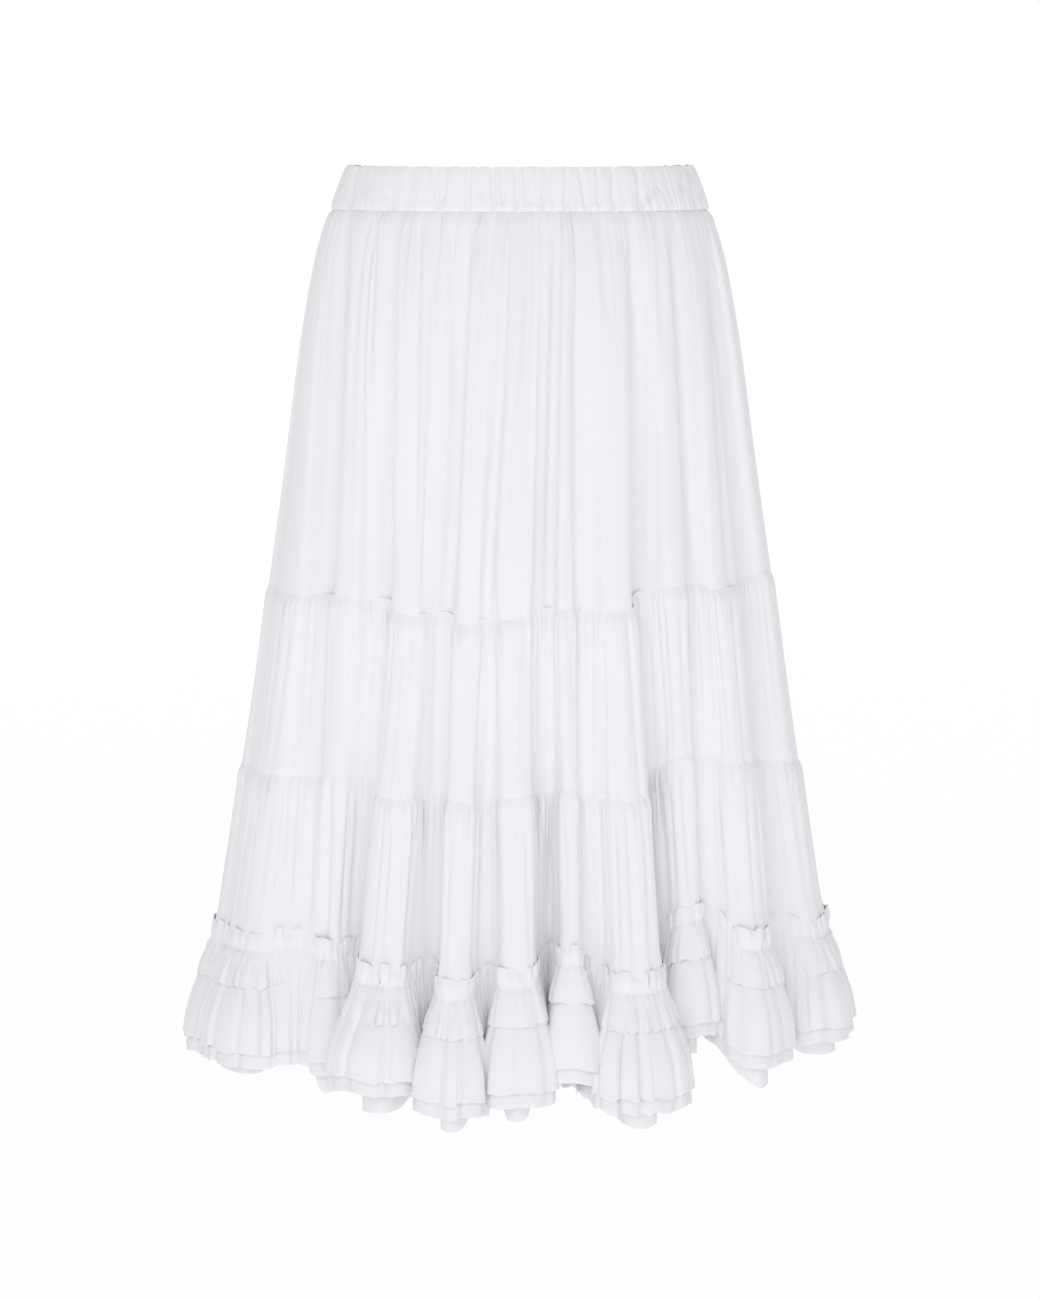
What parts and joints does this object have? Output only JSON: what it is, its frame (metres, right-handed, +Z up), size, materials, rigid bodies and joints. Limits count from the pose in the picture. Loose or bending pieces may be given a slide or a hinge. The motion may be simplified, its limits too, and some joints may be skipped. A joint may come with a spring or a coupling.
{
  "type": "tiered ruffle skirt",
  "caption": "Midi skirt of gathered cotton tiers with an elasticated waistband and a layered ruffle hem, filled out as if worn.",
  "frame": {"origin": "centre of the waist, half way up the waistband, where the wearer holds the skirt up", "axes": "+Z up the wearer's body, -Y to the front, -X to the left as seen from in front"},
  "size_m": [0.5384, 0.4879, 0.729],
  "materials": {
    "band_cloth": "matt plain-weave cotton, white, gathered on elastic",
    "tier_cloth": "matt plain-weave cotton, white, with a faint sheen on the folds",
    "flounce_cloth": "matt plain-weave cotton, white, edges turned and stitched"
  },
  "bodies": {
    "root": {"waistband_front": "band_cloth", "waistband_back": "band_cloth", "tier_1_front": "tier_cloth", "tier_1_back": "tier_cloth", "tier_2_front": "tier_cloth", "tier_2_back": "tier_cloth", "tier_3_front": "tier_cloth", "tier_3_back": "tier_cloth", "under_flounce_front": "flounce_cloth", "under_flounce_back": "flounce_cloth", "main_flounce_front": "flounce_cloth", "main_flounce_back": "flounce_cloth", "frill_front": "flounce_cloth", "frill_back": "flounce_cloth"}
  },
  "joints": []
}
